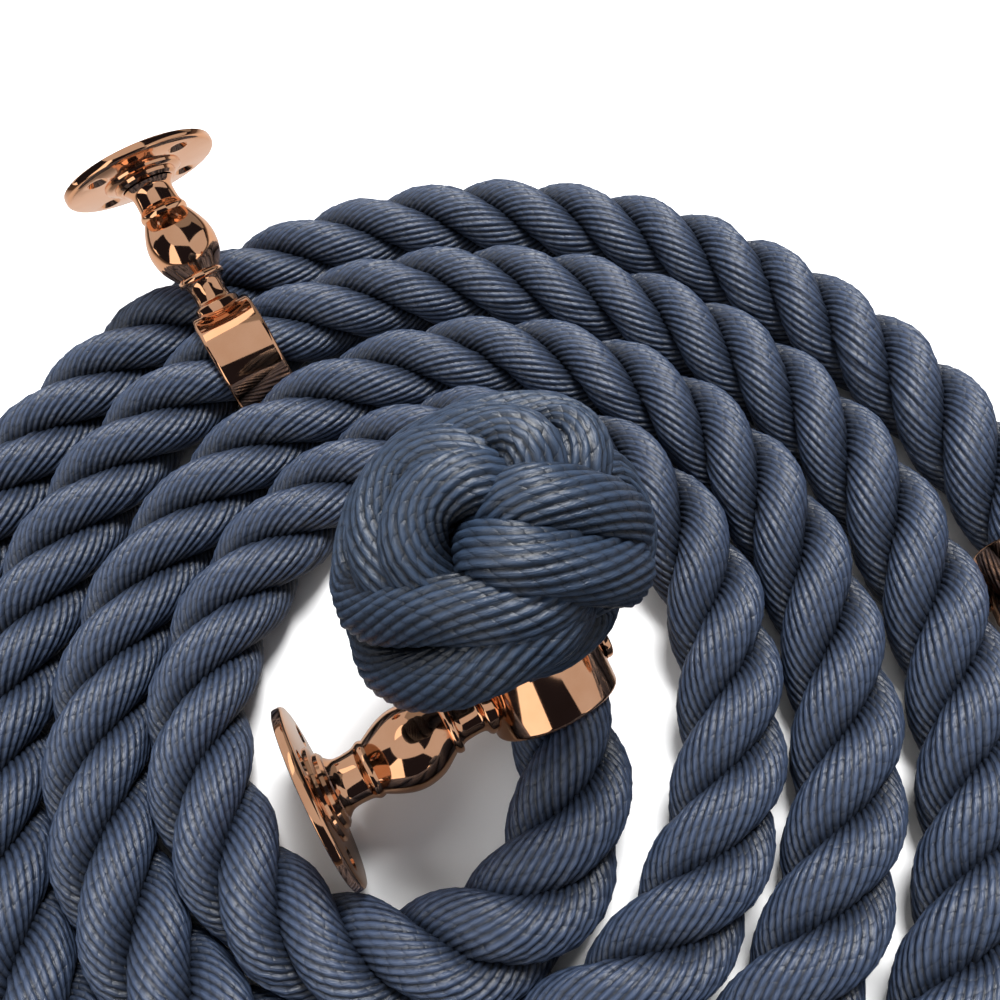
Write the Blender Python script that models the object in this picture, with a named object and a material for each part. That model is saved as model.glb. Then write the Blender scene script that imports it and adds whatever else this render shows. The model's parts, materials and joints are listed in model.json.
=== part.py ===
"""Stair handrail rope: a three-strand rope coiled flat, a ball knot on each end, three polished brackets."""
import math

import bmesh
import bpy
from mathutils import Matrix, Vector

MM = 0.001
GAP = 0.3 * MM  # between neighbouring solids

# Where the middle of the coil stands, so that the origin is under the middle of the whole part.
COIL_X = -35.2 * MM
COIL_Y = -2.8 * MM

# Rope
ROPE_R = 12.6 * MM  # body of the rope; its strand crowns stand a little higher
ROPE_SIDES_RES = 4
COIL_FIRST = 54.3 * MM  # radius the spiral starts from
COIL_PER_TURN = 24.8 * MM
COIL_GROWTH = 0.9 * MM
CHORD_EASE = 1.008  # keeps straight chords centred on the smooth curve
STEP_DEG = 20.0
COIL_START_DEG = 115.6
COIL_LAST_EVEN_DEG = 1415.6
OUTER_DEGS = (1431.5, 1444.5)

# Ball knots at the rope's ends
KNOT_R = 32.5 * MM
INNER_KNOT = (21.3 * MM, 11.3 * MM, 70.8 * MM)
OUTER_KNOT = (127.0 * MM, -140.5 * MM, 34.0 * MM)
KNOT_SEGMENTS = 24
KNOT_RINGS = 12

# From the inner knot down through its bracket and round to the first full turn
INNER_LEAD = (
    (20.4, 12.8, 45.2),
    (23.2, 6.3, 26.5),
    (29.8, -11.5, 15.5),
    (30.9, -22.5, 13.0),
    (29.1, -34.5, 12.6),
    (23.8, -47.0, 12.6),
    (13.8, -57.6, 12.6),
    (0.5, -63.2, 12.6),
)
# From the last bracket out to the outer knot
OUTER_LEAD = (
    (164.0, -36.0, 12.6),
    (159.8, -60.0, 12.8),
    (153.0, -83.0, 15.0),
    (144.0, -106.0, 20.5),
    (134.0, -127.0, 28.5),
)

# Bracket: every length runs from the centre of its rope ring
RING_BORE_R = 14.1 * MM
RING_OUTER_R = 17.1 * MM
RING_HALF_WIDTH = 9.75 * MM
RING_EDGE = 0.7 * MM
FLANGE_FRONT = 61.2 * MM
FLANGE_R = 24.0 * MM
FLANGE_THICK = 2.8 * MM
HOLE_CIRCLE_R = 18.0 * MM
HOLE_R = 1.8 * MM
COUNTERSINK_R = 3.2 * MM
COUNTERSINK_DEPTH = 1.4 * MM
HOLE_COUNT = 4
STUD_R = 3.0 * MM
STUD_BORE_R = 3.3 * MM
STUD_LOW = 46.0 * MM
STUD_HIGH = 62.4 * MM
SCREW_R = 1.95 * MM
SCREW_HOLE_R = 2.2 * MM
SCREW_TIP = 12.95 * MM
SCREW_HEAD_R = 4.2 * MM
SCREW_HEAD_HIGH = 1.9 * MM
SOCKET_R = 1.45 * MM
SOCKET_DEPTH = 1.1 * MM
LATHE_SEGMENTS = 24
SCREW_SEGMENTS = 12

# Turned stem, foot at the ring and top at the flange: radius, distance from the ring's centre
STEM_PROFILE = (
    (0.0, 14.6), (7.3, 14.6), (7.3, 17.9), (6.9, 18.5), (5.9, 19.1), (5.5, 20.2), (5.5, 23.4),
    (5.8, 25.4), (6.2, 26.1), (7.3, 26.3), (7.5, 27.0), (7.3, 27.7), (6.9, 28.2), (8.1, 30.0),
    (9.8, 33.0), (10.5, 35.7), (10.7, 38.4), (10.3, 41.2), (9.3, 44.0), (8.0, 46.6), (7.2, 48.0),
    (7.4, 48.5), (7.5, 49.2), (7.3, 49.9), (6.9, 50.5), (6.5, 52.2), (6.4, 54.6), (6.8, 56.6),
    (7.6, 57.6), (8.0, 58.0), (0.0, 58.0),
)
# Stepped hub on the flange's front: radius, height above the front face
HUB_STEPS = ((12.4, 0.0), (12.2, 0.7), (11.2, 1.2), (10.0, 1.3), (9.8, 2.2), (8.9, 2.9), (0.0, 2.9))

# name, ring centre, direction of the stem (compass angle from +X, angle above the floor)
BRACKETS = (
    ("upper", (-52.4, 115.8, 17.1), 114.4, 37.0),
    ("inner", (26.5, -2.6, 21.0), -159.8, 3.8),
    ("outer", (165.3, 5.8, 17.1), 2.0, 30.0),
)
INNER_ROPE_PITCH_DEG = 30.0

COPPER = (0.72, 0.36, 0.22, 1.0)
STEEL = (0.55, 0.55, 0.57, 1.0)
NAVY = (0.024, 0.036, 0.078, 1.0)


def clear_scene():
    for old in list(bpy.data.objects):
        bpy.data.objects.remove(old, do_unlink=True)


def material(name, colour, roughness, metallic):
    made = bpy.data.materials.new(name)
    made.use_nodes = True
    shader = made.node_tree.nodes["Principled BSDF"]
    shader.inputs["Base Color"].default_value = colour
    shader.inputs["Roughness"].default_value = roughness
    shader.inputs["Metallic"].default_value = metallic
    made.diffuse_color = colour
    return made


def object_from(bm, name):
    bmesh.ops.recalc_face_normals(bm, faces=bm.faces)
    mesh = bpy.data.meshes.new(name)
    bm.to_mesh(mesh)
    bm.free()
    made = bpy.data.objects.new(name, mesh)
    bpy.context.scene.collection.objects.link(made)
    return made


def smooth(obj, sharp_deg=35.0):
    obj.data.shade_smooth()
    obj.data.set_sharp_from_angle(angle=math.radians(sharp_deg))


def lathe(name, profile, segments, closed=False):
    """Turn a (radius, height) profile about local Z; a closed profile makes a tube."""
    bm = bmesh.new()
    rows = []
    for radius, height in profile:
        if radius == 0.0:
            rows.append([bm.verts.new((0.0, 0.0, height))])
            continue
        row = []
        for k in range(segments):
            turn = math.tau * k / segments
            row.append(bm.verts.new((radius * math.cos(turn), radius * math.sin(turn), height)))
        rows.append(row)
    pairs = list(zip(rows, rows[1:]))
    if closed:
        pairs.append((rows[-1], rows[0]))
    for low, high in pairs:
        join_rows(bm, low, high, segments)
    return object_from(bm, name)


def join_rows(bm, low, high, segments):
    for k in range(segments):
        n = (k + 1) % segments
        if len(low) == 1:
            bm.faces.new((low[0], high[n], high[k]))
        elif len(high) == 1:
            bm.faces.new((low[k], low[n], high[0]))
        else:
            bm.faces.new((low[k], low[n], high[n], high[k]))


def cylinder(name, radius, low, high, segments=LATHE_SEGMENTS):
    return lathe(name, ((0.0, low), (radius, low), (radius, high), (0.0, high)), segments)


def scaled(profile, lift=0.0):
    return tuple((radius * MM, lift + height * MM) for radius, height in profile)


def bake(obj):
    """Apply the object's own placement to its mesh."""
    obj.data.transform(obj.matrix_world)
    obj.matrix_world = Matrix.Identity(4)


def cut(obj, cutter):
    """Subtract the cutter and drop it."""
    step = obj.modifiers.new("cut", "BOOLEAN")
    step.operation = "DIFFERENCE"
    step.solver = "EXACT"
    step.object = cutter
    bpy.context.view_layer.update()
    shaped = obj.evaluated_get(bpy.context.evaluated_depsgraph_get())
    mesh = bpy.data.meshes.new_from_object(shaped)
    obj.modifiers.remove(step)
    old = obj.data
    obj.data = mesh
    mesh.name = obj.name
    bpy.data.meshes.remove(old)
    bpy.data.objects.remove(cutter, do_unlink=True)


def coil_radius(deg):
    """Radius of the flat spiral at a turning angle; the small terms are the lie of a hand-laid coil."""
    turns = deg / 360.0
    turn = math.radians(deg)
    radius = COIL_FIRST + COIL_PER_TURN * turns + COIL_GROWTH * turns * turns
    radius -= 2.9 * MM * math.cos(2.0 * turn)
    radius += (turns - 4.0) * MM * math.sin(2.0 * turn)
    radius += 0.4 * (turns - 4.0) * MM * math.cos(3.0 * turn)
    radius += 0.26 * (turns - 2.5) * MM * math.sin(3.0 * turn)
    return radius


def bump(deg, centre, flat, fade):
    """1 near the centre angle, easing to 0 over the fade."""
    away = max(0.0, abs(deg - centre) - flat)
    if away >= fade:
        return 0.0
    return 0.5 + 0.5 * math.cos(math.pi * away / fade)


def coil_point(deg):
    """The rope's middle on the coil, lifted where it passes through a bracket's ring."""
    turn = math.radians(deg)
    radius = coil_radius(deg) * CHORD_EASE
    radius -= 0.9 * MM * bump(deg, 605.6, 8.0, 35.0)
    radius += 1.2 * MM * bump(deg, 1325.6, 8.0, 35.0)
    radius += 1.3 * MM * (bump(deg, 120.0, 8.0, 35.0) + bump(deg, 484.0, 14.0, 40.0))
    lift = bump(deg, 965.6, 12.0, 34.0) + bump(deg, 1438.0, 9.0, 26.0)
    height = ROPE_R + (RING_OUTER_R - ROPE_R) * lift
    return (radius * math.cos(turn), -radius * math.sin(turn), height)


def rope_points():
    points = [tuple(v * MM for v in p) for p in INNER_LEAD]
    count = int(round((COIL_LAST_EVEN_DEG - COIL_START_DEG) / STEP_DEG)) + 1
    points += [coil_point(COIL_START_DEG + STEP_DEG * k) for k in range(count)]
    points += [coil_point(deg) for deg in OUTER_DEGS]
    points += [tuple(v * MM for v in p) for p in OUTER_LEAD]
    return points


def standing(point):
    return Vector((point[0] + COIL_X, point[1] + COIL_Y, point[2]))


def make_rope():
    curve = bpy.data.curves.new("rope", "CURVE")
    curve.dimensions = "3D"
    points = rope_points()
    spline = curve.splines.new("POLY")
    spline.points.add(len(points) - 1)
    for slot, point in zip(spline.points, points):
        slot.co = (*standing(point), 1.0)
    curve.bevel_depth = ROPE_R
    curve.bevel_resolution = ROPE_SIDES_RES
    curve.use_fill_caps = True
    holder = bpy.data.objects.new("rope_curve", curve)
    bpy.context.scene.collection.objects.link(holder)
    bpy.context.view_layer.update()
    shaped = holder.evaluated_get(bpy.context.evaluated_depsgraph_get())
    mesh = bpy.data.meshes.new_from_object(shaped)
    bpy.data.objects.remove(holder, do_unlink=True)
    rope = bpy.data.objects.new("rope", mesh)
    mesh.name = "rope"
    bpy.context.scene.collection.objects.link(rope)
    weld(rope)
    cut(rope, ball("cutter", INNER_KNOT, KNOT_R + GAP))
    cut(rope, ball("cutter", OUTER_KNOT, KNOT_R + GAP))
    smooth(rope, 50.0)
    return rope


def weld(obj):
    bm = bmesh.new()
    bm.from_mesh(obj.data)
    bmesh.ops.remove_doubles(bm, verts=bm.verts, dist=1e-6)
    bmesh.ops.recalc_face_normals(bm, faces=bm.faces)
    bm.to_mesh(obj.data)
    bm.free()


def ball(name, centre, radius):
    profile = []
    for k in range(KNOT_RINGS + 1):
        lean = math.pi * k / KNOT_RINGS
        profile.append((radius * math.sin(lean), -radius * math.cos(lean)))
    profile[0] = (0.0, -radius)
    profile[-1] = (0.0, radius)
    made = lathe(name, profile, KNOT_SEGMENTS)
    made.data.transform(Matrix.Translation(standing(centre)))
    return made


def make_knot(name, centre):
    made = ball(name, centre, KNOT_R)
    smooth(made, 60.0)
    return made


def make_ring(name):
    """Ring about local X, open for the rope, with a screw hole on the side away from the stem."""
    w = RING_HALF_WIDTH
    e = RING_EDGE
    profile = (
        (RING_BORE_R, -w + e), (RING_BORE_R + e, -w), (RING_OUTER_R - e, -w), (RING_OUTER_R, -w + e),
        (RING_OUTER_R, w - e), (RING_OUTER_R - e, w), (RING_BORE_R + e, w), (RING_BORE_R, w - e),
    )
    ring = lathe(name, profile, LATHE_SEGMENTS + 8, closed=True)
    ring.data.transform(Matrix.Rotation(math.pi / 2.0, 4, "Y"))
    cut(ring, cylinder("cutter", SCREW_HOLE_R, -RING_OUTER_R - MM, -RING_BORE_R + MM, SCREW_SEGMENTS))
    smooth(ring)
    return ring


def make_stem(name):
    """Turned baluster; its foot is scooped to sit on the ring and its top is bored for the stud."""
    stem = lathe(name, scaled(STEM_PROFILE), LATHE_SEGMENTS)
    saddle = cylinder("cutter", RING_OUTER_R + GAP, -20.0 * MM, 20.0 * MM, LATHE_SEGMENTS + 8)
    saddle.data.transform(Matrix.Rotation(math.pi / 2.0, 4, "Y"))
    cut(stem, saddle)
    cut(stem, cylinder("cutter", STUD_BORE_R, STUD_LOW - GAP, 60.0 * MM, SCREW_SEGMENTS))
    smooth(stem)
    return stem


def make_stud(name):
    e = 0.4 * MM
    profile = (
        (0.0, STUD_LOW), (STUD_R - e, STUD_LOW), (STUD_R, STUD_LOW + e),
        (STUD_R, STUD_HIGH - e), (STUD_R - e, STUD_HIGH), (0.0, STUD_HIGH),
    )
    stud = lathe(name, profile, SCREW_SEGMENTS)
    smooth(stud)
    return stud


def make_flange(name):
    """Round wall plate, its back face flat, a stepped hub in front, and countersunk holes."""
    front = -FLANGE_FRONT
    back = front - FLANGE_THICK
    rim = (
        (0.0, back), (FLANGE_R - 0.4 * MM, back), (FLANGE_R, back + 0.4 * MM),
        (FLANGE_R, front - 1.0 * MM), (FLANGE_R - 0.3 * MM, front - 0.4 * MM), (FLANGE_R - 1.1 * MM, front),
    )
    plate = lathe(name, rim + scaled(HUB_STEPS, front), LATHE_SEGMENTS + 8)
    for k in range(HOLE_COUNT):
        turn = math.tau * (k + 0.5) / HOLE_COUNT
        cut(plate, screw_hole(turn, front, back))
    plate.data.transform(Matrix.Rotation(math.pi, 4, "X"))
    cut(plate, cylinder("cutter", STUD_BORE_R, 50.0 * MM, STUD_HIGH + GAP, SCREW_SEGMENTS))
    smooth(plate)
    return plate


def screw_hole(turn, front, back):
    profile = (
        (0.0, back - MM), (HOLE_R, back - MM), (HOLE_R, front - COUNTERSINK_DEPTH),
        (COUNTERSINK_R, front), (COUNTERSINK_R + 0.5 * MM, front + 0.5 * MM), (0.0, front + 0.5 * MM),
    )
    hole = lathe("cutter", profile, SCREW_SEGMENTS)
    spot = Vector((HOLE_CIRCLE_R * math.cos(turn), HOLE_CIRCLE_R * math.sin(turn), 0.0))
    hole.data.transform(Matrix.Translation(spot))
    return hole


def make_screw(name):
    """Button-head screw through the ring's wall, tip just short of the rope."""
    seat = RING_OUTER_R + GAP
    top = seat + SCREW_HEAD_HIGH
    profile = (
        (0.0, SCREW_TIP), (SCREW_R - 0.3 * MM, SCREW_TIP), (SCREW_R, SCREW_TIP + 0.3 * MM), (SCREW_R, seat),
        (SCREW_HEAD_R, seat), (SCREW_HEAD_R, seat + 0.9 * MM), (SCREW_HEAD_R - 0.6 * MM, top - 0.35 * MM),
        (SCREW_HEAD_R - 1.6 * MM, top), (0.0, top),
    )
    screw = lathe(name, profile, SCREW_SEGMENTS)
    cut(screw, cylinder("cutter", SOCKET_R, top - SOCKET_DEPTH, top + MM, 6))
    screw.data.transform(Matrix.Rotation(math.pi, 4, "X"))
    smooth(screw)
    return screw


def bracket_frame(ring_centre, compass_deg, rise_deg, pitch_deg):
    """Local Z runs up the stem, local X along the rope through the ring."""
    compass = math.radians(compass_deg)
    rise = math.radians(rise_deg)
    along = Vector((-math.sin(compass), math.cos(compass), 0.0))
    along.negate()
    pitch = math.radians(pitch_deg)
    along = along * math.cos(pitch) - Vector((0.0, 0.0, math.sin(pitch)))
    out = Vector((math.cos(compass) * math.cos(rise), math.sin(compass) * math.cos(rise), math.sin(rise)))
    out = (out - along * out.dot(along)).normalized()
    side = out.cross(along)
    frame = Matrix((along, side, out)).transposed().to_4x4()
    frame.translation = standing(tuple(v * MM for v in ring_centre))
    return frame


def make_bracket(name, ring_centre, compass_deg, rise_deg, copper, steel):
    pitch = -INNER_ROPE_PITCH_DEG if name == "inner" else 0.0
    frame = bracket_frame(ring_centre, compass_deg, rise_deg, pitch)
    pieces = (
        (make_flange(name + "_wall_flange"), copper),
        (make_stem(name + "_stem"), copper),
        (make_stud(name + "_stem_stud"), steel),
        (make_ring(name + "_rope_ring"), copper),
        (make_screw(name + "_clamp_screw"), copper),
    )
    for piece, kind in pieces:
        piece.matrix_world = frame
        dress(piece, kind)


def dress(piece, kind):
    name, colour, roughness, metallic = kind
    piece.data.materials.clear()
    piece.data.materials.append(material(piece.name + "_" + name, colour, roughness, metallic))


def main():
    clear_scene()
    copper = ("copper", COPPER, 0.08, 1.0)
    steel = ("steel", STEEL, 0.35, 1.0)
    fibre = ("fibre", NAVY, 0.75, 0.0)
    dress(make_rope(), fibre)
    dress(make_knot("inner_knot", INNER_KNOT), fibre)
    dress(make_knot("outer_knot", OUTER_KNOT), fibre)
    for name, ring_centre, compass_deg, rise_deg in BRACKETS:
        make_bracket(name, ring_centre, compass_deg, rise_deg, copper, steel)
    bpy.context.view_layer.update()


main()
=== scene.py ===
"""Looks of the handrail rope: laid strands, ball knots and polished copper brackets on a pale floor."""
import json
import math

import bmesh
import bpy
import numpy as np
from mathutils import Matrix, Vector

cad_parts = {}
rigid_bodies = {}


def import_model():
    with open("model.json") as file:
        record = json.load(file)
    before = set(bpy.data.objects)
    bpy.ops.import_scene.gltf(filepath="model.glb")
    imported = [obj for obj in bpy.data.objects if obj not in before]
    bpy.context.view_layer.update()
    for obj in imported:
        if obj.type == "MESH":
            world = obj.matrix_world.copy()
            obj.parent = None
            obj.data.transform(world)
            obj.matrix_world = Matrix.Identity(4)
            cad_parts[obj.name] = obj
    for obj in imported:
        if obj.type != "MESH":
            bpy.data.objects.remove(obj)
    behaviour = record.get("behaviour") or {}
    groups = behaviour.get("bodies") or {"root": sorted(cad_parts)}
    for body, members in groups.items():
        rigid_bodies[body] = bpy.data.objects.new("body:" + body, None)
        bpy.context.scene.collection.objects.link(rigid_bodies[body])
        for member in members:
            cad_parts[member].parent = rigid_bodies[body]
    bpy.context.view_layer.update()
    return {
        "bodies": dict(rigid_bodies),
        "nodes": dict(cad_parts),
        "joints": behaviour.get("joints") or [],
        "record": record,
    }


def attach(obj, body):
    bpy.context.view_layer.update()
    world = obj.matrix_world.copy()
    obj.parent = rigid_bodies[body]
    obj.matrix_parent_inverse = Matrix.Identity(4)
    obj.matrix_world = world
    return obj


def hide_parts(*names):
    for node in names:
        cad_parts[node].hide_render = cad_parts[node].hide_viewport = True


MM = 0.001
SEED = 11
ABOVE_FLOOR = 0.15  # what lies on the floor stays this far above it

# The coil's middle in the frame, and the rope's lie on it. These repeat the part's own dimensions.
COIL = np.array((-35.2, -2.8, 0.0))
ROPE_R = 14.0
SOLID_R = 12.6
RING_OUTER_R = 17.1
COIL_FIRST = 54.3
COIL_PER_TURN = 24.8
COIL_GROWTH = 0.9
STEP_DEG = 20.0
COIL_START_DEG = 115.6
COIL_LAST_EVEN_DEG = 1415.6
OUTER_DEGS = (1431.5, 1444.5)
INNER_KNOT = np.array((21.3, 11.3, 70.8))
OUTER_KNOT = np.array((127.0, -140.5, 34.0))
INNER_LEAD = (
    (20.4, 12.8, 45.2),
    (23.2, 6.3, 26.5),
    (29.8, -11.5, 15.5),
    (30.9, -22.5, 13.0),
    (29.1, -34.5, 12.6),
    (23.8, -47.0, 12.6),
    (13.8, -57.6, 12.6),
    (0.5, -63.2, 12.6),
)
OUTER_LEAD = (
    (164.0, -36.0, 12.6),
    (159.8, -60.0, 12.8),
    (153.0, -83.0, 15.0),
    (144.0, -106.0, 20.5),
    (134.0, -127.0, 28.5),
)

# Laid rope: three strands wound right-handed
LAY = 71.0
STRAND_COUNT = 3
STRAND_OFF_AXIS = 7.4
STRAND_HALF = (6.9, 6.6)  # across, outward
STRAND_STEP = 2.4
YARNS = 18
YARN_DEPTH = 0.8
YARN_PROFILE = (-YARN_DEPTH, -0.18, 0.0, -0.18)  # surface below the yarn's top, across one yarn
YARN_TURN_PER_MM = 0.188
YARN_HEIGHT_SPREAD = 0.18
# The strands lie a little open on the free lead: middle of it, half its length, fade, extra fullness
OPEN_LEAD = (80.0, 18.0, 28.0)
OPEN_LEAD_EXTRA = 0.09
SWELL_EVERY = 7  # rings between one drawn swelling of a yarn and the next
YARN_NUMBERS_APART = 31.0  # between one strand's first yarn and the next strand's
# Stretch of the coil over which a turn is pressed by its outer and by its inner neighbour: where it begins
# and how far it runs past the last even point
PRESSED_OUTSIDE_DEG = (70.0, 50.0)
PRESSED_INSIDE_DEG = (95.0, 30.0)
PRESSED_SOFT = 1.4
CROWN_GAP = 0.05
SPIRAL_TABLE_DEG = (0.0, 1900.0, 4.0)  # from, to, step
# How far the winding runs ahead of an even lay: degrees round the coil, degrees of winding
LAY_AHEAD = (
    (60, 0), (100, 20), (160, 53), (240, 76), (300, 72), (345, 48), (420, 83), (520, 76),
    (560, 86), (620, 46), (680, 0), (730, -12), (760, -2), (880, 34), (905, 52), (950, 42), (1000, 8),
    (1050, -14), (1078, -24), (1110, 7), (1295, 24), (1345, -16), (1372, -33), (1400, -22), (1435, -9),
)

# Brackets: name, ring centre, stem compass angle, stem rise, pitch of the rope in the ring
BRACKETS = (
    ("upper", (-52.4, 115.8, 17.1), 114.4, 37.0, 0.0),
    ("inner", (26.5, -2.6, 21.0), -159.8, 3.8, -30.0),
    ("outer", (165.3, 5.8, 17.1), 2.0, 30.0, 0.0),
)
RING_BORE_R = 14.1
RING_HALF_WIDTH = 9.75
RING_EDGE = 1.25
# How far the strands stay clear of a ring: past its ends, inside its bore, outside it
RING_CLEAR_ENDS = 0.4
RING_CLEAR_BORE = 0.05
RING_CLEAR_OUTSIDE = 0.2
FLANGE_FRONT = 61.2
FLANGE_R = 24.0
FLANGE_THICK = 2.8
HOLE_CIRCLE_R = 18.0
HOLE_R = 1.8
HOLE_COUNT = 4
COUNTERSINK_R = 3.2
COUNTERSINK_DEPTH = 1.4
SCREW_TIP = 12.95
SCREW_R = 1.95
SCREW_SEAT = 17.2
SCREW_HEAD_R = 4.7
SCREW_HEAD_TOP = 19.6
SOCKET_R = 1.6
SOCKET_FLOOR = 18.4

CAMERA_AT = (22.2, -65.8, 247.9)
CAMERA_DOWN_DEG = 63.15
CAMERA_ROLL_DEG = -8.09
CAMERA_FOCAL = 0.8933  # of the frame's width


# ---------- curves ----------

def bump(where, centre, flat, fade):
    """1 near the centre, easing to 0 over the fade."""
    away = max(0.0, abs(where - centre) - flat)
    if away >= fade:
        return 0.0
    return 0.5 + 0.5 * math.cos(math.pi * away / fade)


def coil_radius(deg):
    """Radius of the flat spiral at a turning angle; the small terms are the lie of a hand-laid coil."""
    turns = deg / 360.0
    turn = math.radians(deg)
    radius = COIL_FIRST + COIL_PER_TURN * turns + COIL_GROWTH * turns * turns
    radius -= 2.9 * math.cos(2.0 * turn)
    radius += (turns - 4.7) * math.sin(2.0 * turn)
    radius += 0.4 * (turns - 4.0) * math.cos(3.0 * turn)
    radius += 0.26 * (turns - 2.5) * math.sin(3.0 * turn)
    radius -= 0.9 * bump(deg, 605.6, 8.0, 35.0)
    radius -= 2.6 * bump(deg, 1318.0, 14.0, 40.0)
    radius += 1.3 * (bump(deg, 120.0, 8.0, 35.0) + bump(deg, 484.0, 14.0, 40.0))
    return radius


def coil_point(deg):
    """The rope's middle on the coil, lifted where it passes through a bracket's ring."""
    turn = math.radians(deg)
    radius = coil_radius(deg)
    lift = bump(deg, 965.6, 12.0, 34.0) + bump(deg, 1438.0, 9.0, 26.0)
    height = SOLID_R + (RING_OUTER_R - SOLID_R) * lift
    return (radius * math.cos(turn), -radius * math.sin(turn), height)


def raised(point):
    """The laid rope is fuller than its solid, so its middle lies higher wherever it rests on the floor."""
    x, y, z = point
    on_floor = min(1.0, max(0.0, (RING_OUTER_R - z) / (RING_OUTER_R - SOLID_R)))
    return (x, y, z + (ROPE_R - SOLID_R) * on_floor)


def route():
    count = int(round((COIL_LAST_EVEN_DEG - COIL_START_DEG) / STEP_DEG)) + 1
    points = list(INNER_LEAD)
    points += [coil_point(COIL_START_DEG + STEP_DEG * k) for k in range(count)]
    points += [coil_point(deg) for deg in OUTER_DEGS]
    points += list(OUTER_LEAD)
    return np.array([raised(p) for p in points])


def spline_at_even_steps(points, step):
    """A smooth cubic through the points, read about every step along its length."""
    points = np.asarray(points, float)
    knots = np.concatenate(([0.0], np.cumsum(np.linalg.norm(np.diff(points, axis=0), axis=1))))
    gaps = np.diff(knots)
    count = len(points)
    system = np.zeros((count, count))
    right = np.zeros((count, points.shape[1]))
    system[0, 0] = system[-1, -1] = 1.0
    for k in range(1, count - 1):
        system[k, k - 1:k + 2] = gaps[k - 1], 2.0 * (gaps[k - 1] + gaps[k]), gaps[k]
        slope = (points[k + 1] - points[k]) / gaps[k] - (points[k] - points[k - 1]) / gaps[k - 1]
        right[k] = 6.0 * slope
    bend = np.linalg.solve(system, right)
    dense = np.linspace(0.0, knots[-1], int(knots[-1] / 0.5) + 2)
    fine = cubic_at(dense, knots, gaps, points, bend)
    along = np.concatenate(([0.0], np.cumsum(np.linalg.norm(np.diff(fine, axis=0), axis=1))))
    wanted = np.linspace(0.0, along[-1], int(round(along[-1] / step)) + 1)
    return cubic_at(np.interp(wanted, along, dense), knots, gaps, points, bend)


def cubic_at(where, knots, gaps, points, bend):
    k = np.clip(np.searchsorted(knots, where, side="right") - 1, 0, len(gaps) - 1)
    h = gaps[k][:, None]
    left = (where - knots[k])[:, None]
    rest = h - left
    value = bend[k] * rest ** 3 / (6.0 * h) + bend[k + 1] * left ** 3 / (6.0 * h)
    value += (points[k] / h - bend[k] * h / 6.0) * rest
    value += (points[k + 1] / h - bend[k + 1] * h / 6.0) * left
    return value


def unit(vectors):
    return vectors / np.linalg.norm(vectors, axis=-1, keepdims=True)


def tangents(points):
    return unit(np.gradient(points, axis=0))


def lengths(points):
    return np.concatenate(([0.0], np.cumsum(np.linalg.norm(np.diff(points, axis=0), axis=1))))


def untwisted_normals(points):
    """Normals carried along the line without turning about it."""
    along = tangents(points)
    normal = np.cross(along[0], (0.0, 0.0, 1.0))
    normals = []
    for direction in along:
        normal = normal - direction * normal.dot(direction)
        normal = normal / np.linalg.norm(normal)
        normals.append(normal)
    return np.array(normals)


# ---------- strands ----------

def strand_rings(centres, outward, half, turn_per_mm, rng):
    """Rings of points round a strand that is a bundle of yarns.

    With each point come its relief, 0 in a yarn's valley and 1 on its top, and its openness, 0 among the
    other strands and 1 facing outwards; the material paints shade with both, darker in the valleys and among
    the strands. The run is the length along the strand to each ring.
    """
    along = tangents(centres)
    across = unit(np.cross(along, outward))
    outward = np.cross(across, along)
    around = YARNS * len(YARN_PROFILE)
    run = lengths(centres)
    yarn = np.arange(around) // len(YARN_PROFILE)
    fall = np.array(YARN_PROFILE)[np.arange(around) % len(YARN_PROFILE)]
    angle = (2.0 * math.pi / around) * np.arange(around)[None, :] - (turn_per_mm * run)[:, None]
    swell = rng.normal(0.0, YARN_HEIGHT_SPREAD, (len(run) // SWELL_EVERY + 2, YARNS))
    at = np.linspace(0.0, len(swell) - 1.001, len(run))
    low = at.astype(int)
    part = (at - low)[:, None]
    height = (swell[low] * (1.0 - part) + swell[low + 1] * part)[:, yarn]
    height = height + fall[None, :]
    c, s = np.cos(angle), np.sin(angle)
    x = (half[0] + height) * s
    y = (half[1] + height) * c
    points = centres[:, None, :] + x[..., None] * across[:, None, :] + y[..., None] * outward[:, None, :]
    # relief and openness are masks for painted shade in the yarn material.
    relief = np.broadcast_to((1.0 + fall / YARN_DEPTH)[None, :], x.shape)
    openness = np.clip((c + 0.25) / 0.95, 0.0, 1.0)
    return points, relief, openness, run


def strands_mesh(name, bundles):
    """One mesh from several strands' rings, with yarn coordinates for its material."""
    verts, faces, relief, openness, coords = [], [], [], [], []
    start = 0
    for number, (points, point_relief, point_openness, run) in enumerate(bundles):
        rings, around = points.shape[:2]
        index = start + np.arange(rings * around).reshape(rings, around)
        beside = np.roll(index, -1, axis=1)
        quads = np.stack((index[:-1], beside[:-1], beside[1:], index[1:]), axis=-1)
        faces.append(quads.reshape(-1, 4))
        column = (np.arange(around) / len(YARN_PROFILE))[None, :] + YARN_NUMBERS_APART * number
        u = np.broadcast_to(column, (rings - 1, around))
        v = np.broadcast_to(run[:-1, None], u.shape)
        w = np.broadcast_to(run[1:, None], u.shape)
        next_u = u + 1.0 / len(YARN_PROFILE)
        corner = np.stack((u, v, next_u, v, next_u, w, u, w), axis=-1)
        coords.append(corner.reshape(-1, 2))
        verts.append(points.reshape(-1, 3))
        relief.append(point_relief.reshape(-1))
        openness.append(point_openness.reshape(-1))
        start += rings * around
    made = mesh_from_arrays(name, np.concatenate(verts), np.concatenate(faces), np.concatenate(coords))
    # Masks for the painted shade of the yarn material.
    for key, values in (("relief", relief), ("openness", openness)):
        layer = made.data.attributes.new(key, "FLOAT", "POINT")
        layer.data.foreach_set("value", np.concatenate(values))
    return made


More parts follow.
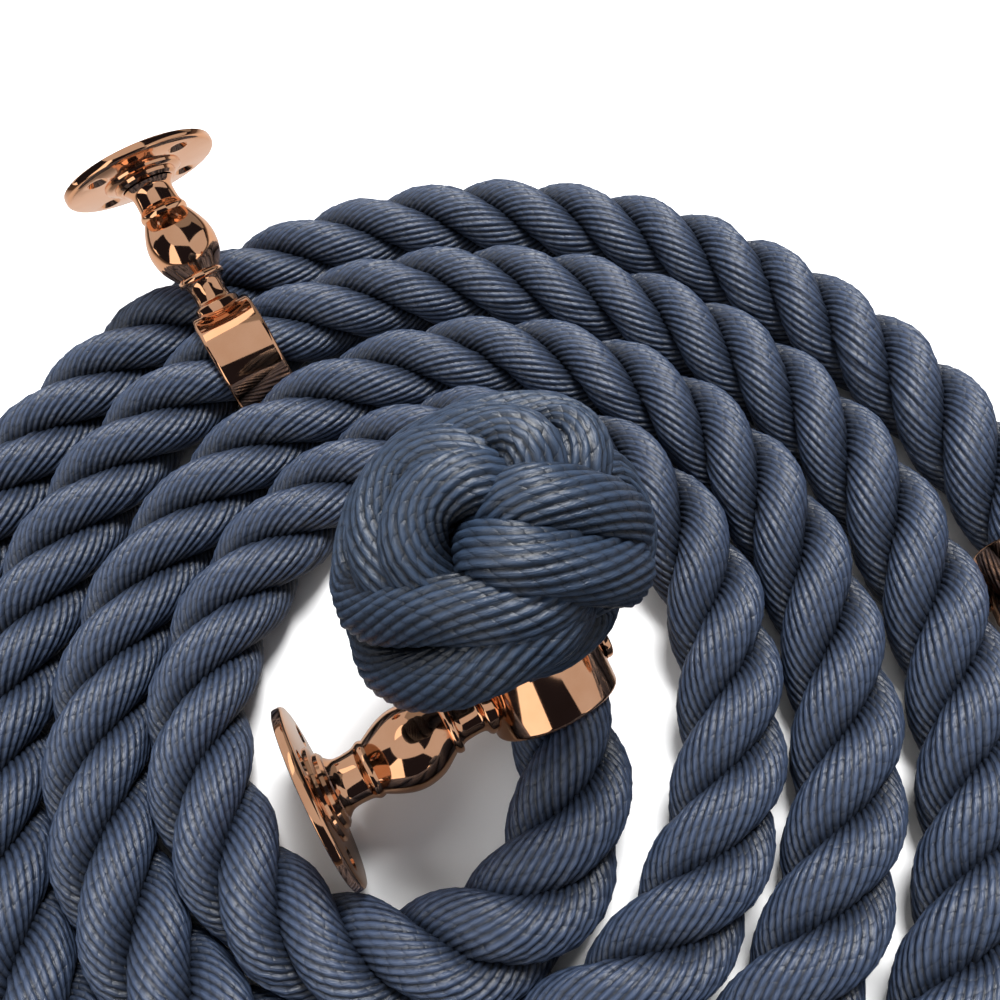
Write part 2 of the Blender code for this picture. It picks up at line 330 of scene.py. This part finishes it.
def mesh_from_arrays(name, verts, faces, coords):
    mesh = bpy.data.meshes.new(name)
    mesh.vertices.add(len(verts))
    mesh.vertices.foreach_set("co", ((verts + COIL) * MM).ravel())
    mesh.loops.add(faces.size)
    mesh.loops.foreach_set("vertex_index", faces.ravel())
    mesh.polygons.add(len(faces))
    mesh.polygons.foreach_set("loop_start", np.arange(0, faces.size, 4))
    mesh.polygons.foreach_set("loop_total", np.full(len(faces), 4))
    mesh.update(calc_edges=True)
    layer = mesh.uv_layers.new(name="yarn")
    layer.data.foreach_set("uv", coords.ravel())
    mesh.validate()
    mesh.shade_smooth()
    made = bpy.data.objects.new(name, mesh)
    bpy.context.scene.collection.objects.link(made)
    return made


def laid_strands(line):
    """The three strands' middles round the rope's line, and their outward directions."""
    normal = untwisted_normals(line)
    side = np.cross(tangents(line), normal)
    run = lengths(line)
    ahead = np.interp(turning_angles(line), *zip(*LAY_AHEAD))
    for k in range(STRAND_COUNT):
        phase = 2.0 * math.pi * (run / LAY + k / STRAND_COUNT) + np.radians(ahead)
        outward = np.cos(phase)[:, None] * normal + np.sin(phase)[:, None] * side
        yield line + STRAND_OFF_AXIS * outward, outward


def turning_angles(line):
    """Unwrapped clockwise angle of each point round the coil's middle."""
    return np.degrees(np.unwrap(np.arctan2(-line[:, 1], line[:, 0])))


def pressed_between_turns(points, degs):
    """Neighbouring turns share the space between their middles, so their crowns flatten where they meet."""
    radius = np.hypot(points[..., 0], points[..., 1])
    turn = np.degrees(np.arctan2(-points[..., 1], points[..., 0]))
    turn += 360.0 * np.round((degs[:, None] - turn) / 360.0)
    grid = np.arange(*SPIRAL_TABLE_DEG)
    radii = np.array([coil_radius(d) for d in grid])
    own = np.interp(turn, grid, radii)
    out_gap = 0.5 * (np.interp(turn + 360.0, grid, radii) - own) - CROWN_GAP
    in_gap = 0.5 * (own - np.interp(turn - 360.0, grid, radii)) - CROWN_GAP
    begins, past = PRESSED_OUTSIDE_DEG
    has_outer = (turn > begins) & (turn + 360.0 < COIL_LAST_EVEN_DEG + past)
    begins, past = PRESSED_INSIDE_DEG
    has_inner = (turn - 360.0 > begins) & (turn < COIL_LAST_EVEN_DEG + past)
    away = radius - own
    away = np.where(has_outer & (away > out_gap - PRESSED_SOFT), squeezed(away, out_gap), away)
    away = np.where(has_inner & (-away > in_gap - PRESSED_SOFT), -squeezed(-away, in_gap), away)
    factor = ((own + away) / radius)[..., None]
    return np.concatenate((points[..., :2] * factor, points[..., 2:]), axis=-1)


def squeezed(away, limit):
    return limit - PRESSED_SOFT + PRESSED_SOFT * np.tanh((away - limit + PRESSED_SOFT) / PRESSED_SOFT)


def clear_of_ring(points, frame):
    """Rope inside a ring stays in its bore, and rope beside it stays off its outside."""
    to_ring = np.array(frame.inverted())
    local = (points + COIL) * MM @ to_ring[:3, :3].T + to_ring[:3, 3]
    local = local / MM
    reach = np.hypot(local[..., 1], local[..., 2])
    near = np.abs(local[..., 0]) < RING_HALF_WIDTH + RING_CLEAR_ENDS
    inside = reach < 0.5 * (RING_BORE_R + RING_OUTER_R)
    in_bore = np.minimum(reach, RING_BORE_R - RING_CLEAR_BORE)
    beside = np.maximum(reach, RING_OUTER_R + RING_CLEAR_OUTSIDE)
    wanted = np.where(near, np.where(inside, in_bore, beside), reach)
    local[..., 1:] *= (wanted / np.maximum(reach, 1e-6))[..., None]
    from_ring = np.array(frame)
    return (local * MM @ from_ring[:3, :3].T + from_ring[:3, 3]) / MM - COIL


def make_rope(frames):
    rng = np.random.default_rng(SEED)
    line = spline_at_even_steps(route(), STRAND_STEP)
    degs = turning_angles(line)
    in_lead = np.array([bump(run, *OPEN_LEAD) for run in lengths(line)])
    fuller = (1.0 + OPEN_LEAD_EXTRA * in_lead)[:, None, None]
    bundles = []
    for centres, outward in laid_strands(line):
        points, relief, openness, run = strand_rings(centres, outward, STRAND_HALF, YARN_TURN_PER_MM, rng)
        points = line[:, None, :] + fuller * (points - line[:, None, :])
        points = pressed_between_turns(points, degs)
        for frame in frames.values():
            points = clear_of_ring(points, frame)
        points[..., 2] = np.maximum(points[..., 2], ABOVE_FLOOR)
        bundles.append((points, relief, openness, run))
    return strands_mesh("rope_laid_strands", bundles), line


# ---------- knots ----------

KNOT_HALF = (7.0, 6.0)  # across, outward
KNOT_SIZE = 0.965
KNOT_YARN_TURN = 0.07
HEART_R = 23.5
HEART_ROWS = 24
HEART_RIPPLE = 0.8
# Strands of the knot. Each point is degrees right and degrees up from the crown's middle, as laid on the
# ball, and the distance of the strand's middle from the ball's middle.
KNOT_STRANDS = (
    # left pair: roots under the lower pair, over the right pair's roots, ends under the upper pair
    ((-16, -40, 21), (-15, -28, 22.5), (-13.5, -17, 27), (-16.8, -4.6, 31), (-16.5, 6, 31.8),
     (-12, 15.3, 32), (-4, 21.5, 31.6), (5, 25.4, 30), (13.4, 26, 26.5), (22, 24, 22.5),
     (32, 28, 21), (44, 40, 21), (60, 56, 25), (76, 54, 28), (92, 36, 28.5), (98, 10, 28),
     (96, -12, 26), (88, -32, 22),
     (78, -50, 18)),
    ((-33, -42, 21), (-31, -28, 24), (-31, -16, 29), (-35, -6, 31), (-37.7, 6, 31.8), (-35, 20, 32),
     (-27.6, 31, 32), (-13, 36, 31.4), (0.2, 35, 29.2), (11.5, 31, 25.5), (22, 27, 22), (36, 36, 21),
     (50, 60, 22), (66, 80, 25), (88, 74, 27.5), (106, 48, 28), (114, 16, 28), (112, -12, 26),
     (102, -38, 22)),
    # right pair: roots under the left pair, over the lower pair's roots, ends under the outer loop
    ((-8, 22, 19), (5.5, 16.5, 20), (15, 15.7, 26.5), (24.5, 16.9, 31.3), (37, 17.2, 32.2), (51.7, 16.6, 32),
     (66, 14, 31.3), (79, 10, 29), (92, 4, 24), (110, -8, 22), (124, -30, 22.5), (116, -62, 24),
     (90, -90, 24.5), (50, -104, 24.5), (10, -104, 24)),
    ((-12, 4, 19), (0, 0, 20), (9, -1.6, 27.5), (17, -3.5, 31.6), (34, -6.8, 32.2), (52, -9.3, 32),
     (68, -11, 31), (80, -15, 28.5), (92, -24, 23), (100, -44, 22.5), (90, -66, 23.5),
     (68, -80, 23.5), (36, -84, 23), (6, -82, 22)),
    # lower pair: roots under the right pair, over the left pair's roots, round the side as the upper pair
    ((56, -20, 22), (48, -22, 24), (39, -23.5, 28), (24, -24, 31), (9, -22.5, 31.8), (-6.8, -22.4, 32),
     (-28, -25, 32.2), (-45, -25.5, 33), (-60, -21, 33), (-69, -4, 32), (-64, 17, 30.5), (-52, 34, 30),
     (-34, 46, 29.5), (-14, 50, 30), (0.4, 50, 30.8), (13.6, 48, 31.5), (24.9, 40.3, 31.7),
     (29.8, 29.5, 27.5), (31, 17, 21.5), (30, 4, 20)),
    ((58, -30, 21), (49, -32.5, 24), (37, -34, 28.5), (20, -39, 31.5), (2.9, -45.5, 33.4),
     (-17.8, -51, 34.8), (-40, -54, 35.4), (-64, -48, 34.8), (-84, -26, 33), (-88, 2, 31),
     (-80, 30, 30), (-60, 54, 29),
     (-34, 67, 28.5), (-8, 71, 29), (19.6, 70.5, 30.3), (37, 64.5, 31.7), (46.7, 52.5, 31.7),
     (49.5, 38, 28.5), (47, 22, 22), (44, 8, 20)),
    # loops round the underside, drawn in towards the rope
    ((66, -50, 20), (42, -58, 22.5), (20, -63, 23.5), (0, -69, 24.5), (-24, -75, 28.5), (-52, -76, 31.5),
     (-82, -56, 31.5), (-104, -28, 30.5), (-110, 6, 30.5), (-100, 40, 30.5), (-76, 70, 30.5),
     (-40, 92, 30), (0, 98, 29.5), (40, 94, 28.5),
     (62, 92, 26)),
    ((92, -112, 23), (60, -124, 24.5), (26, -124, 25), (-4, -118, 25.5), (-26, -111, 26.5),
     (-48, -104, 28), (-86, -84, 29.5), (-116, -52, 30), (-130, -10, 30), (-124, 34, 30),
     (-100, 76, 30), (-60, 108, 30), (-12, 120, 30),
     (38, 116, 29.5), (84, 94, 29), (114, 58, 28.5), (126, 14, 28), (126, -24, 27)),
    ((-40, -134, 25.5), (-70, -120, 27), (-110, -86, 28.5), (-138, -26, 29), (-134, 40, 29),
     (-98, 98, 29), (-40, 134, 29), (30, 136, 29), (92, 104, 28.5), (130, 50, 28),
     (138, -14, 26.5), (124, -72, 24.5), (92, -116, 24.5), (40, -138, 25), (-10, -142, 25.5)),
)


def on_ball(point, centre, axes):
    right_deg, up_deg, reach = point
    polar = math.radians(math.hypot(right_deg, up_deg))
    compass = math.atan2(up_deg, right_deg)
    right, up, apex = axes
    flat = math.cos(compass) * right + math.sin(compass) * up
    return centre + KNOT_SIZE * reach * (math.sin(polar) * flat + math.cos(polar) * apex)


def knot_axes(apex, right_hint):
    apex = unit(np.array(apex, float))
    right = np.array(right_hint, float)
    right = unit(right - apex * right.dot(apex))
    return right, np.cross(apex, right), apex


def make_knot(name, centre, axes, shape):
    rng = np.random.default_rng(SEED + len(name))
    bundles = []
    for guide in KNOT_STRANDS:
        places = np.array([on_ball(p, centre, axes) for p in guide])
        line = spline_at_even_steps(places, STRAND_STEP)
        outward = unit(line - centre)
        points, relief, openness, run = strand_rings(line, outward, KNOT_HALF, KNOT_YARN_TURN, rng)
        bundles.append((shape(points), relief, openness, run))
    return strands_mesh(name, bundles)


def make_core(name, centre):
    """Heart of the knot, seen only as the gaps between its strands; its colour comes out near black as
    painted shade.
    """
    profile = [(0.0, -HEART_R)]
    for k in range(1, HEART_ROWS):
        lean = math.pi * k / HEART_ROWS
        height = HEART_RIPPLE * math.sin(5.0 * lean) - HEART_R * math.cos(lean)
        profile.append((HEART_R * math.sin(lean), height))
    core = lathe(name, profile + [(0.0, HEART_R)], segments=48)
    core.data.transform(Matrix.Translation(Vector((centre + COIL) * MM)))
    core.data.shade_smooth()
    return core


# ---------- brackets ----------

SEGMENTS = 96
# Stretches of the turned stem: radius, distance from the ring's centre
STEM_FOOT = (
    (7.3, 15.4), (7.3, 17.9), (6.9, 18.5), (5.9, 19.1), (5.5, 20.2), (5.5, 23.4), (5.8, 25.4), (6.2, 26.1),
)
STEM_COLLAR = ((6.2, 26.1), (7.3, 26.3), (7.5, 27.0), (7.3, 27.7), (6.9, 28.2))
STEM_BULB = (
    (6.9, 28.2), (8.1, 30.0), (9.8, 33.0), (10.5, 35.7), (10.7, 38.4), (10.3, 41.2), (9.3, 44.0),
    (8.0, 46.6), (7.2, 48.0),
)
STEM_CROWN = (
    (7.2, 48.0), (7.4, 48.5), (7.5, 49.2), (7.3, 49.9), (6.9, 50.5), (6.5, 52.2), (6.4, 54.6), (6.8, 56.6),
    (7.6, 57.6), (8.0, 58.0),
)
# Stepped hub on the flange's front: radius, height above the front face
HUB_STEPS = ((12.4, 0.0), (12.2, 0.7), (11.2, 1.2), (10.0, 1.3), (9.8, 2.2), (8.9, 2.9), (0.0, 2.9))


def bracket_frame(ring_centre, compass_deg, rise_deg, pitch_deg):
    """Local Z runs up the stem, local X along the rope through the ring."""
    compass = math.radians(compass_deg)
    rise = math.radians(rise_deg)
    pitch = math.radians(pitch_deg)
    along = Vector((math.sin(compass), -math.cos(compass), 0.0))
    along = along * math.cos(pitch) - Vector((0.0, 0.0, math.sin(pitch)))
    out = Vector((math.cos(compass) * math.cos(rise), math.sin(compass) * math.cos(rise), math.sin(rise)))
    out = (out - along * out.dot(along)).normalized()
    side = out.cross(along)
    frame = Matrix((along, side, out)).transposed().to_4x4()
    frame.translation = Vector((np.array(ring_centre) + COIL) * MM)
    return frame


def lathe(name, profile, closed=False, segments=SEGMENTS):
    """Turn a (radius, height) profile in mm about local Z."""
    profile = [p for k, p in enumerate(profile) if k == 0 or p != profile[k - 1]]
    bm = bmesh.new()
    rows = []
    for radius, height in profile:
        count = 1 if radius == 0.0 else segments
        row = []
        for k in range(count):
            turn = math.tau * k / count
            spot = Vector((radius * math.cos(turn), radius * math.sin(turn), height)) * MM
            row.append(bm.verts.new(spot))
        rows.append(row)
    pairs = list(zip(rows, rows[1:]))
    if closed:
        pairs.append((rows[-1], rows[0]))
    for low, high in pairs:
        for k in range(segments):
            n = k + 1
            corners = [low[k % len(low)], low[n % len(low)], high[n % len(high)], high[k % len(high)]]
            bm.faces.new(list(dict.fromkeys(corners)))
    bmesh.ops.recalc_face_normals(bm, faces=bm.faces)
    mesh = bpy.data.meshes.new(name)
    bm.to_mesh(mesh)
    bm.free()
    made = bpy.data.objects.new(name, mesh)
    bpy.context.scene.collection.objects.link(made)
    return made


def smooth(obj, sharp_deg=30.0):
    obj.data.shade_smooth()
    obj.data.set_sharp_from_angle(angle=math.radians(sharp_deg))


def rounded(profile, step=0.35):
    """The profile as a smooth curve."""
    return [(float(r), float(z)) for r, z in spline_at_even_steps(np.array(profile), step)]


def cut(obj, cutter):
    step = obj.modifiers.new("cut", "BOOLEAN")
    step.operation = "DIFFERENCE"
    step.solver = "EXACT"
    step.object = cutter
    shaped = obj.evaluated_get(bpy.context.evaluated_depsgraph_get())
    mesh = bpy.data.meshes.new_from_object(shaped)
    obj.modifiers.remove(step)
    obj.data = mesh
    bpy.data.objects.remove(cutter, do_unlink=True)


def make_stem(name):
    """Turned baluster, smooth along each stretch of its outline and crisp between them."""
    profile = [(0.0, STEM_FOOT[0][1]), STEM_FOOT[0]]
    for stretch in (STEM_FOOT[1:], STEM_COLLAR, STEM_BULB, STEM_CROWN):
        profile += rounded(stretch)
    stem = lathe(name, profile + [(0.0, STEM_CROWN[-1][1])])
    smooth(stem)
    return stem


def make_ring(name):
    """Ring about local X with rounded edges."""
    inner = RING_BORE_R + RING_EDGE
    outer = RING_OUTER_R - RING_EDGE
    end = RING_HALF_WIDTH - RING_EDGE
    steps = 6
    profile = []
    corners = ((outer, end, 0.0), (inner, end, 90.0), (inner, -end, 180.0), (outer, -end, 270.0))
    for radius, height, start in corners:
        for k in range(steps):
            turn = math.radians(start + 90.0 * k / (steps - 1))
            profile.append((radius + RING_EDGE * math.cos(turn), height + RING_EDGE * math.sin(turn)))
    ring = lathe(name, profile, closed=True)
    ring.data.transform(Matrix.Rotation(math.pi / 2.0, 4, "Y"))
    smooth(ring)
    return ring


def make_flange(name):
    """Round wall plate with a flat back, a stepped hub in front and countersunk holes."""
    back = FLANGE_FRONT + FLANGE_THICK
    front = FLANGE_FRONT
    profile = [(0.0, back), (FLANGE_R - 0.5, back), (FLANGE_R - 0.1, back - 0.2), (FLANGE_R, back - 0.6)]
    profile += [(FLANGE_R, front + 1.0), (FLANGE_R - 0.15, front + 0.55), (FLANGE_R - 0.5, front + 0.2)]
    profile += [(FLANGE_R - 1.2, front)]
    profile += [(r, front - z) for r, z in HUB_STEPS]
    plate = lathe(name, profile)
    hole = (
        (0.0, back + 1.0), (HOLE_R, back + 1.0), (HOLE_R, front + COUNTERSINK_DEPTH), (COUNTERSINK_R, front),
        (COUNTERSINK_R + 0.4, front - 0.4), (0.0, front - 0.4),
    )
    for k in range(HOLE_COUNT):
        turn = math.tau * (k + 0.5) / HOLE_COUNT
        spot = HOLE_CIRCLE_R * MM * Vector((math.cos(turn), math.sin(turn), 0.0))
        cutter = lathe("cutter", hole, segments=36)
        cutter.data.transform(Matrix.Translation(spot))
        cut(plate, cutter)
    smooth(plate)
    return plate


def make_screw(name):
    """Button-head clamp screw with a hexagon socket, on the side away from the stem."""
    tip, seat, top, head = SCREW_TIP, SCREW_SEAT, SCREW_HEAD_TOP, SCREW_HEAD_R
    profile = [(0.0, tip), (SCREW_R - 0.3, tip), (SCREW_R, tip + 0.3), (SCREW_R, seat), (head, seat)]
    profile += [(head, top - 1.2), (head - 0.15, top - 0.7), (head - 0.6, top - 0.3)]
    profile += [(head - 1.5, top - 0.05), (0.0, top)]
    screw = lathe(name, profile, segments=48)
    above = top + 0.8
    socket = ((0.0, SOCKET_FLOOR), (SOCKET_R, SOCKET_FLOOR), (SOCKET_R, above), (0.0, above))
    cut(screw, lathe("cutter", socket, segments=6))
    screw.data.transform(Matrix.Rotation(math.pi, 4, "X"))
    smooth(screw)
    return screw


def make_bracket(name, frame, copper):
    body = name + "_bracket"
    made = (
        (make_flange(name + "_flange_copper"), body, name + "_wall_flange"),
        (make_stem(name + "_stem_copper"), body, name + "_stem"),
        (make_ring(name + "_ring_copper"), body, name + "_rope_ring"),
        (make_screw(name + "_screw_copper"), name + "_screw", name + "_clamp_screw"),
    )
    for piece, rides, node in made:
        piece.matrix_world = frame
        dress(piece, copper)
        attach(piece, rides)
        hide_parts(node)


def dress(piece, material):
    piece.data.materials.clear()
    piece.data.materials.append(material)


# ---------- materials ----------

def new_material(name):
    made = bpy.data.materials.new(name)
    made.use_nodes = True
    return made, made.node_tree, made.node_tree.nodes["Principled BSDF"]


def add(tree, kind, **settings):
    node = tree.nodes.new(kind)
    for key, value in settings.items():
        setattr(node, key, value)
    return node


def colour_steps(tree, source, steps):
    ramp = add(tree, "ShaderNodeValToRGB")
    elements = ramp.color_ramp.elements
    while len(elements) < len(steps):
        elements.new(0.5)
    for element, (place, colour) in zip(elements, steps):
        element.position = place
        element.color = (*colour, 1.0)
    tree.links.new(source, ramp.inputs["Fac"])
    return ramp.outputs["Color"]


def maths(tree, operation, *values):
    """A maths node fed by sockets or plain numbers."""
    node = add(tree, "ShaderNodeMath", operation=operation)
    for slot, value in zip(node.inputs, values):
        if isinstance(value, (int, float)):
            slot.default_value = value
        else:
            tree.links.new(value, slot)
    return node.outputs["Value"]


def fibre_material(name, tint, ply_length, ply_depth):
    """Glossy plied yarn: short slanting plies along each yarn, fine filaments; painted shade darkens the
    gaps between yarns and plies and the sides among the strands, and the yarn tops are painted lighter.
    """
    made, tree, shader = new_material(name)
    link = tree.links.new
    uv = add(tree, "ShaderNodeUVMap", uv_map="yarn")
    split = add(tree, "ShaderNodeSeparateXYZ")
    link(uv.outputs["UV"], split.inputs["Vector"])
    across = maths(tree, "FRACT", split.outputs["X"])
    yarn = maths(tree, "FLOOR", split.outputs["X"])
    shift = maths(tree, "MULTIPLY", maths(tree, "SINE", maths(tree, "MULTIPLY", yarn, 12.9)), 7.3)
    along = maths(tree, "MULTIPLY_ADD", split.outputs["Y"], 1.0 / ply_length, shift)
    ply = maths(tree, "FRACT", maths(tree, "MULTIPLY_ADD", across, -0.8, along))
    hump = maths(tree, "MULTIPLY", maths(tree, "MULTIPLY", ply, maths(tree, "SUBTRACT", 1.0, ply)), 4.0)
    hump = maths(tree, "POWER", hump, 0.6)
    stretch = add(tree, "ShaderNodeMapping")
    stretch.inputs["Scale"].default_value = (5.0, 0.5, 1.0)
    link(uv.outputs["UV"], stretch.inputs["Vector"])
    filament = add(tree, "ShaderNodeTexNoise")
    filament.inputs["Scale"].default_value = 1.5
    filament.inputs["Detail"].default_value = 4.0
    link(stretch.outputs["Vector"], filament.inputs["Vector"])
    relief = add(tree, "ShaderNodeAttribute", attribute_name="relief")
    plies = maths(tree, "MULTIPLY", hump, ply_depth)
    height = maths(tree, "MULTIPLY_ADD", filament.outputs["Fac"], 0.9, plies)
    openness = add(tree, "ShaderNodeAttribute", attribute_name="openness")
    # Painted shade: the colour darkens in the yarn valleys (relief), at the ply ends (height) and among the
    # strands (openness); the filament noise adds random tone.
    shade = maths(tree, "MULTIPLY_ADD", relief.outputs["Fac"], 0.55, maths(tree, "MULTIPLY", height, 0.32))
    shade = maths(tree, "MULTIPLY", shade, maths(tree, "MULTIPLY_ADD", openness.outputs["Fac"], 0.7, 0.3))
    # From near-black painted shade through the yarn's own tint to painted light on the yarn tops.
    steps = ((0.12, tuple(0.03 * c for c in tint)), (0.55, tint), (0.95, tuple(2.8 * c for c in tint)))
    link(colour_steps(tree, shade, steps), shader.inputs["Base Color"])
    shader.inputs["Roughness"].default_value = 0.38
    shader.inputs["Specular IOR Level"].default_value = 0.38
    grain = add(tree, "ShaderNodeBump")
    grain.inputs["Strength"].default_value = 0.8
    grain.inputs["Distance"].default_value = 0.28 * MM
    link(height, grain.inputs["Height"])
    link(grain.outputs["Normal"], shader.inputs["Normal"])
    return made


def copper_material():
    """Polished copper plate with faint buffing marks."""
    made, tree, shader = new_material("polished_copper")
    link = tree.links.new
    place = add(tree, "ShaderNodeTexCoord")
    cloud = add(tree, "ShaderNodeTexNoise")
    cloud.inputs["Scale"].default_value = 120.0
    cloud.inputs["Detail"].default_value = 3.0
    link(place.outputs["Object"], cloud.inputs["Vector"])
    deep_and_light = ((0.3, (0.80, 0.42, 0.235)), (0.7, (0.86, 0.48, 0.285)))
    tints = colour_steps(tree, cloud.outputs["Fac"], deep_and_light)
    link(tints, shader.inputs["Base Color"])
    gloss = add(tree, "ShaderNodeMapRange")
    gloss.inputs["To Min"].default_value = 0.035
    gloss.inputs["To Max"].default_value = 0.10
    link(cloud.outputs["Fac"], gloss.inputs["Value"])
    link(gloss.outputs["Result"], shader.inputs["Roughness"])
    shader.inputs["Metallic"].default_value = 1.0
    return made


def zinc_material():
    made, tree, shader = new_material("plain_zinc")
    place = add(tree, "ShaderNodeTexCoord")
    grain = add(tree, "ShaderNodeTexNoise")
    grain.inputs["Scale"].default_value = 900.0
    tree.links.new(place.outputs["Object"], grain.inputs["Vector"])
    greys = colour_steps(tree, grain.outputs["Fac"], ((0.3, (0.42, 0.42, 0.44)), (0.7, (0.6, 0.6, 0.62))))
    tree.links.new(greys, shader.inputs["Base Color"])
    shader.inputs["Metallic"].default_value = 1.0
    shader.inputs["Roughness"].default_value = 0.38
    return made


# ---------- stage ----------

def make_camera():
    data = bpy.data.cameras.new("camera")
    data.sensor_width = 36.0
    data.lens = data.sensor_width * CAMERA_FOCAL
    data.clip_start = 0.01
    camera = bpy.data.objects.new("camera", data)
    bpy.context.scene.collection.objects.link(camera)
    down = math.radians(CAMERA_DOWN_DEG)
    roll = math.radians(CAMERA_ROLL_DEG)
    forward = Vector((0.0, math.cos(down), -math.sin(down)))
    level_up = Vector((0.0, math.sin(down), math.cos(down)))
    right = math.cos(roll) * Vector((1.0, 0.0, 0.0)) + math.sin(roll) * level_up
    up = right.cross(forward)
    turn = Matrix((right, up, -forward)).transposed().to_4x4()
    turn.translation = Vector((np.array(CAMERA_AT) + COIL) * MM)
    camera.matrix_world = turn
    bpy.context.scene.camera = camera


def make_floor():
    """Plain pale floor. It throws back less light than it shows, and hardly any from far off."""
    mesh = bpy.data.meshes.new("floor")
    far = 4.0
    corners = [(-far, -far, 0.0), (far, -far, 0.0), (far, far, 0.0), (-far, far, 0.0)]
    mesh.from_pydata(corners, [], [(0, 1, 2, 3)])
    floor = bpy.data.objects.new("floor", mesh)
    bpy.context.scene.collection.objects.link(floor)
    made, tree, shader = new_material("pale_floor")
    ray = add(tree, "ShaderNodeLightPath")
    tone = add(tree, "ShaderNodeMix", data_type="RGBA")
    tree.links.new(ray.outputs["Is Camera Ray"], tone.inputs["Factor"])
    place = add(tree, "ShaderNodeTexCoord")
    reach = add(tree, "ShaderNodeVectorMath", operation="LENGTH")
    tree.links.new(place.outputs["Object"], reach.inputs[0])
    near_to_far = ((0.28, (0.37, 0.35, 0.33)), (0.45, (0.04, 0.03, 0.025)))
    tree.links.new(colour_steps(tree, reach.outputs["Value"], near_to_far), tone.inputs["A"])
    tone.inputs["B"].default_value = (0.95, 0.95, 0.95, 1.0)
    tree.links.new(tone.outputs["Result"], shader.inputs["Base Color"])
    shader.inputs["Roughness"].default_value = 0.9
    shader.inputs["Specular IOR Level"].default_value = 0.1
    mesh.materials.append(made)


def soft_light(name, at, size, power):
    """A rectangular lamp turned to the middle of the floor."""
    data = bpy.data.lights.new(name, "AREA")
    data.shape = "RECTANGLE"
    data.size, data.size_y = size
    data.energy = power
    lamp = bpy.data.objects.new(name, data)
    bpy.context.scene.collection.objects.link(lamp)
    lamp.location = at
    lamp.rotation_euler = (-Vector(at)).to_track_quat("-Z", "Y").to_euler()
    return lamp


def make_room():
    """A plain pale backdrop whose bright panels and dark openings show only in the polished metal."""
    world = bpy.data.worlds.new("studio")
    bpy.context.scene.world = world
    world.use_nodes = True
    tree = world.node_tree
    place = add(tree, "ShaderNodeTexCoord")
    panels = add(tree, "ShaderNodeTexVoronoi", feature="F1")
    panels.inputs["Scale"].default_value = 1.05
    tree.links.new(place.outputs["Generated"], panels.inputs["Vector"])
    dark, dim = (0.02, 0.02, 0.03), (0.4, 0.4, 0.4)
    pale, bright = (0.85, 0.86, 0.9), (2.1, 2.0, 1.85)
    steps = ((0.0, dark), (0.34, dim), (0.46, pale), (0.66, bright))
    tones = colour_steps(tree, panels.outputs["Color"], steps)
    tones.node.color_ramp.interpolation = "CONSTANT"
    ray = add(tree, "ShaderNodeLightPath")
    seen = add(tree, "ShaderNodeMix", data_type="RGBA")
    tree.links.new(ray.outputs["Is Camera Ray"], seen.inputs["Factor"])
    tree.links.new(tones, seen.inputs["A"])
    seen.inputs["B"].default_value = (1.35, 1.35, 1.35, 1.0)
    back = tree.nodes["Background"]
    tree.links.new(seen.outputs["Result"], back.inputs["Color"])
    back.inputs["Strength"].default_value = 0.7


def make_lights():
    make_room()
    key = soft_light("key", at=(0.25, 0.55, 1.2), size=(0.45, 0.45), power=30.0)
    fill = soft_light("fill", at=(-0.9, -0.3, 1.1), size=(0.8, 0.4), power=7.0)
    matt = bpy.data.collections.new("lit_by_lamps")
    for piece in bpy.data.objects:
        if piece.type == "MESH" and not piece.name.endswith("_copper"):
            matt.objects.link(piece)
    for lamp in (key, fill):
        lamp.light_linking.receiver_collection = matt


def main():
    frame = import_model()
    scene = bpy.context.scene
    scene.view_settings.view_transform = "Standard"
    make_camera()
    frames = {name: bracket_frame(at, compass, rise, pitch) for name, at, compass, rise, pitch in BRACKETS}
    rope, line = make_rope(frames)
    fibre = fibre_material(
        "navy_yarn", tint=(0.0180, 0.0262, 0.0470), ply_length=2.6, ply_depth=0.5)
    # The knot's yarn is the rope's yarn with a darker tint: painted shade.
    shaded_knot_fibre = fibre_material(
        "navy_knot_yarn_shaded", tint=(0.0118, 0.0194, 0.0348), ply_length=3.0, ply_depth=0.6)
    inner = make_knot(
        "inner_knot_strands", INNER_KNOT, knot_axes((-0.28, -0.307, 0.91), (0.95, -0.227, 0.216)),
        lambda points: clear_of_ring(points, frames["inner"]))
    outer = make_knot(
        "outer_knot_strands", OUTER_KNOT, knot_axes((-0.35, -0.7, 0.62), (0.9, -0.4, 0.1)),
        lambda points: np.concatenate((points[..., :2], np.maximum(points[..., 2:], ABOVE_FLOOR)), axis=-1))
    # The hearts are dark fill of painted shade in the gaps between the knot's strands.
    inner_core = make_core("inner_knot_heart", INNER_KNOT)
    outer_core = make_core("outer_knot_heart", OUTER_KNOT)
    yarned = (
        (rope, fibre), (inner, shaded_knot_fibre), (outer, shaded_knot_fibre), (inner_core, shaded_knot_fibre),
        (outer_core, shaded_knot_fibre))
    for piece, kind in yarned:
        dress(piece, kind)
        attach(piece, "rope_with_knots")
    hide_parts("rope")
    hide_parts("inner_knot")
    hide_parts("outer_knot")
    copper = copper_material()
    for name, bracket in frames.items():
        make_bracket(name, bracket, copper)
    zinc = zinc_material()
    for name in frames:
        stud = frame["nodes"][name + "_stem_stud"]
        stud.data.materials.clear()
        stud.data.materials.append(zinc)
    make_floor()
    make_lights()


main()
